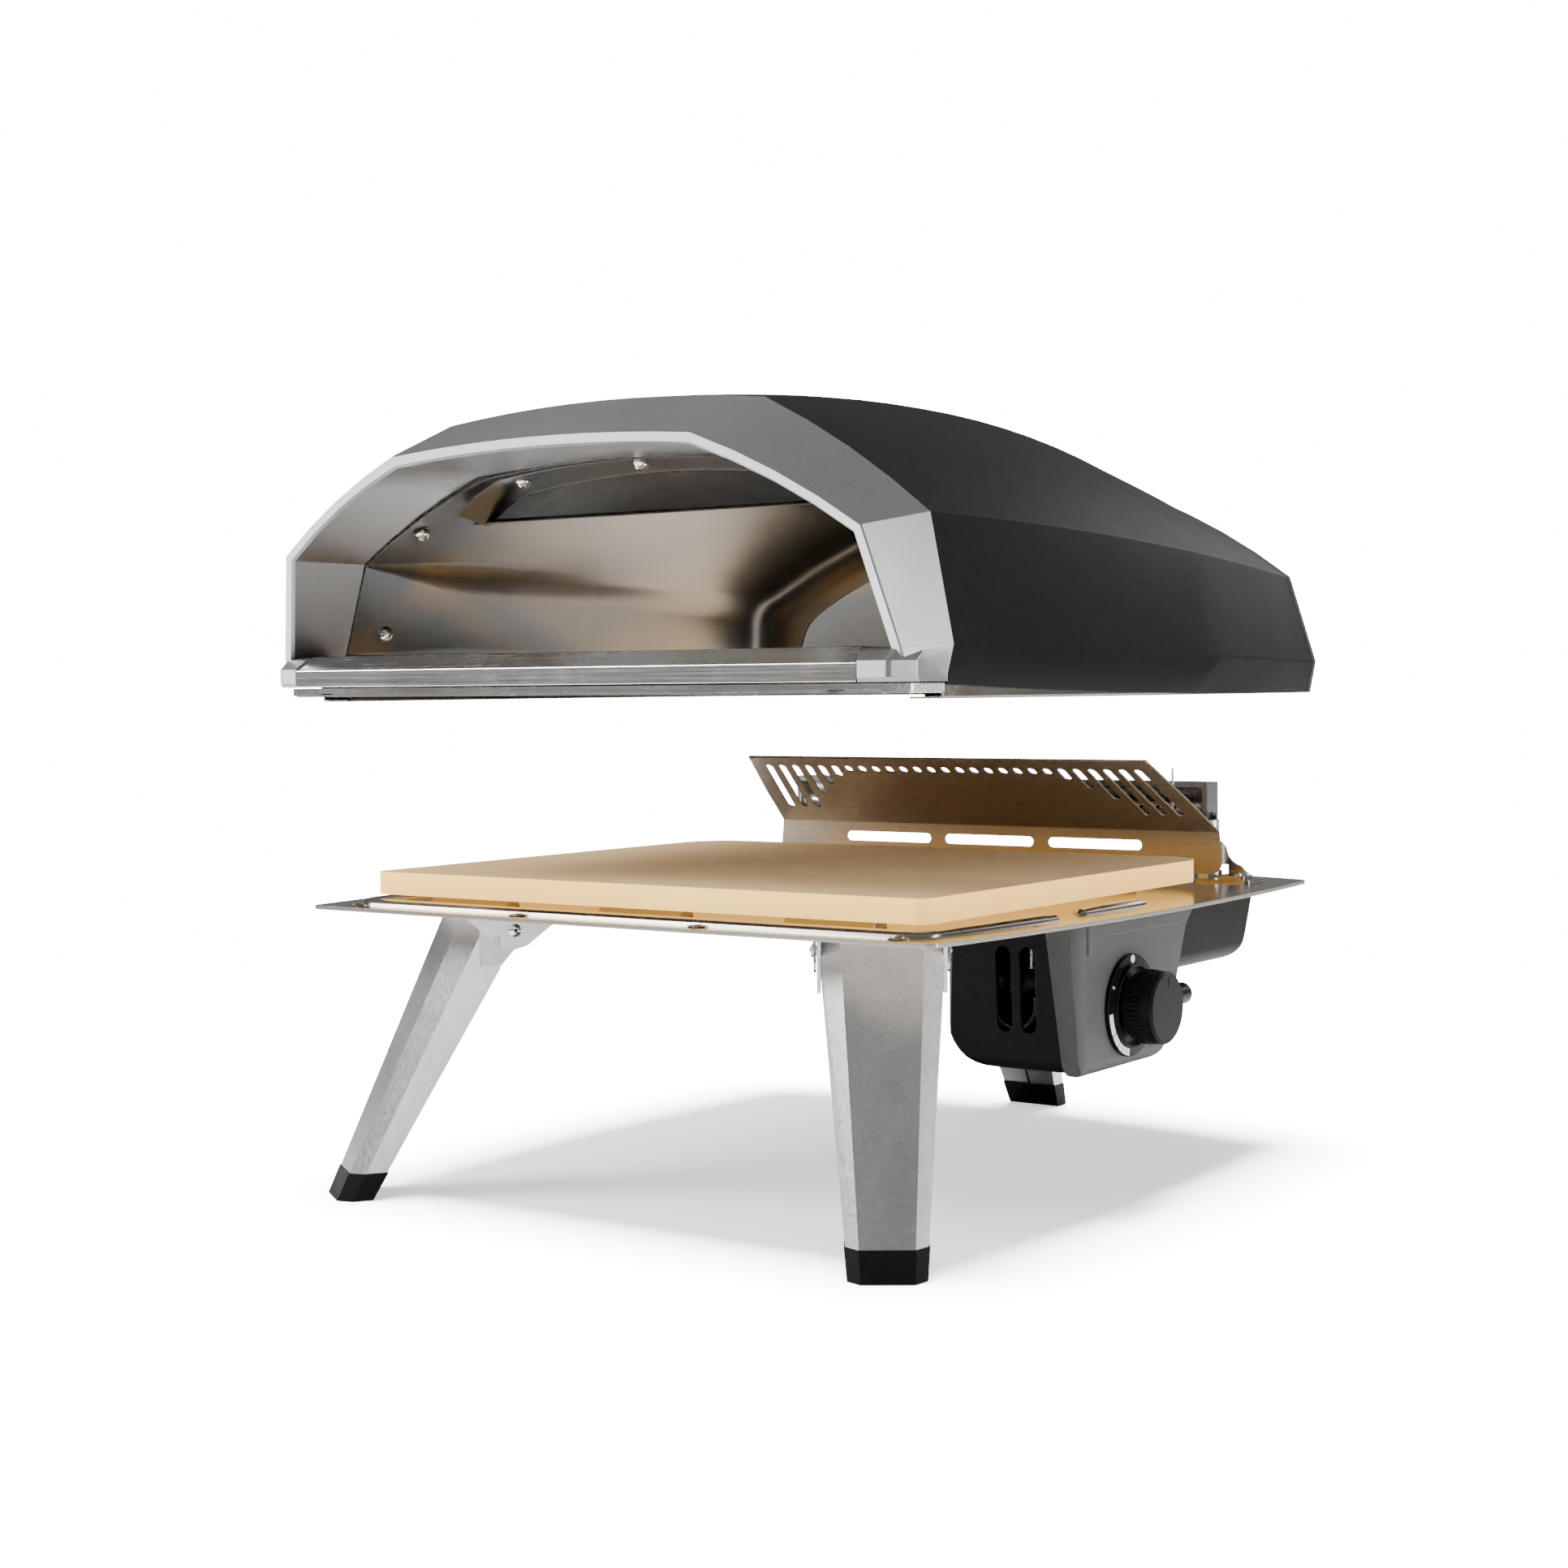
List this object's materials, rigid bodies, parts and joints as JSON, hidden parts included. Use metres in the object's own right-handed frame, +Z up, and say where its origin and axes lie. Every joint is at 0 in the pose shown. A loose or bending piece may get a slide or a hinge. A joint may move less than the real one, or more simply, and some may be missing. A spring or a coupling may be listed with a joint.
{
  "type": "portable gas pizza oven",
  "caption": "Faceted insulated shell with an open mouth, over a steel tray with a baking stone, guarded rear burner, side gas control and folding splayed legs.",
  "frame": {"origin": "on the ground, under the middle of the oven's bounding box as stored, with the shell raised", "axes": "+Z up, +Y towards the back of the oven (its mouth faces -Y), +X towards the side with the control knob"},
  "size_m": [0.527, 0.614, 0.5216],
  "materials": {
    "tray_steel": "polished",
    "guard_steel": "brushed",
    "burner_steel": "satin",
    "screw_chrome": "polished",
    "ceramic_white": "matt",
    "valve_cast": "cast",
    "black_fitting": "gloss",
    "black_plastic": "matt",
    "lead_white": "satin",
    "housing_black": "satin",
    "cover_grey": "matt",
    "dial_black": "satin",
    "mark_white": "matt",
    "black_screw": "satin",
    "bracket_steel": "satin",
    "stone": "matt ceramic",
    "knob_black": "satin",
    "leg_steel": "brushed",
    "foot_black": "matt",
    "shell_black": "matt powder coat",
    "bezel_grey": "satin",
    "sill_steel": "satin",
    "liner_steel": "brushed",
    "wool": "fibrous",
    "trim_grey": "matt"
  },
  "bodies": {
    "base": {"base_tray": "tray_steel", "stone_rests": "tray_steel", "flame_guard": "guard_steel", "guard_posts": "tray_steel", "burner_box": "burner_steel", "burner_tube": "burner_steel", "burner_brackets": "tray_steel", "burner_screws": "screw_chrome", "igniter_electrode": "ceramic_white", "flame_sensor": "burner_steel", "gas_feed_pipe": "burner_steel", "gas_valve": "valve_cast", "gas_inlet": "black_fitting", "igniter_module": "black_plastic", "igniter_lead": "lead_white", "burner_housing": "housing_black", "control_cover": "cover_grey", "dial_plate": "dial_black", "dial_marks": "mark_white", "housing_screws": "black_screw", "leg_bracket_left": "bracket_steel", "leg_bracket_right": "bracket_steel", "leg_bracket_rear": "bracket_steel", "pivot_bolt_left": "screw_chrome", "pivot_bolt_right": "screw_chrome", "pivot_bolt_rear": "screw_chrome"},
    "shell": {"outer_shell": "shell_black", "shell_foot": "tray_steel", "front_bezel": "bezel_grey", "sill_strip": "sill_steel", "front_rail": "sill_steel", "inner_liner": "liner_steel", "liner_back": "liner_steel", "insulation_blanket": "wool", "rear_panel": "shell_black", "rear_trim": "trim_grey", "arch_baffle": "guard_steel", "liner_screws": "screw_chrome", "rear_screws": "black_screw"},
    "stone": {"baking_stone": "stone"},
    "push": {"stem_collar": "valve_cast"},
    "knob": {"valve_stem": "burner_steel", "control_knob": "knob_black", "knob_insert": "black_screw"},
    "leg_left": {"leg_left": "leg_steel", "foot_cap_left": "foot_black"},
    "leg_right": {"leg_right": "leg_steel", "foot_cap_right": "foot_black"},
    "leg_rear": {"leg_rear": "leg_steel", "foot_cap_rear": "foot_black"}
  },
  "joints": [
    {"name": "shell_lift", "type": "slide", "parent": "base", "child": "shell", "axis": [0, 0, 1], "range_m": [-0.134, 0]},
    {"name": "stone_lift", "type": "slide", "parent": "base", "child": "stone", "axis": [0, 0, 1], "range_m": [0, 0.04]},
    {"name": "knob_push", "type": "slide", "parent": "base", "child": "push", "axis": [-1, 0, 0], "range_m": [0, 0.003], "stiffness_N_per_m": 900, "springref_m": -0.004},
    {"name": "knob_turn", "type": "hinge", "parent": "push", "child": "knob", "pos_m": [0.2355, -0.01419, 0.1285], "axis": [1, 0, 0], "range_deg": [0, 170]},
    {"name": "leg_left_fold", "type": "hinge", "parent": "base", "child": "leg_left", "pos_m": [-0.15178, -0.17164, 0.1735], "axis": [0.829, -0.5592, 0], "range_deg": [0, 114.3]},
    {"name": "leg_right_fold", "type": "hinge", "parent": "base", "child": "leg_right", "pos_m": [0.15178, -0.17164, 0.1735], "axis": [0.829, 0.5592, 0], "range_deg": [0, 114.3]},
    {"name": "leg_rear_fold", "type": "hinge", "parent": "base", "child": "leg_rear", "pos_m": [0, 0.20931, 0.1735], "axis": [-1, 0, 0], "range_deg": [0, 109.5]}
  ]
}
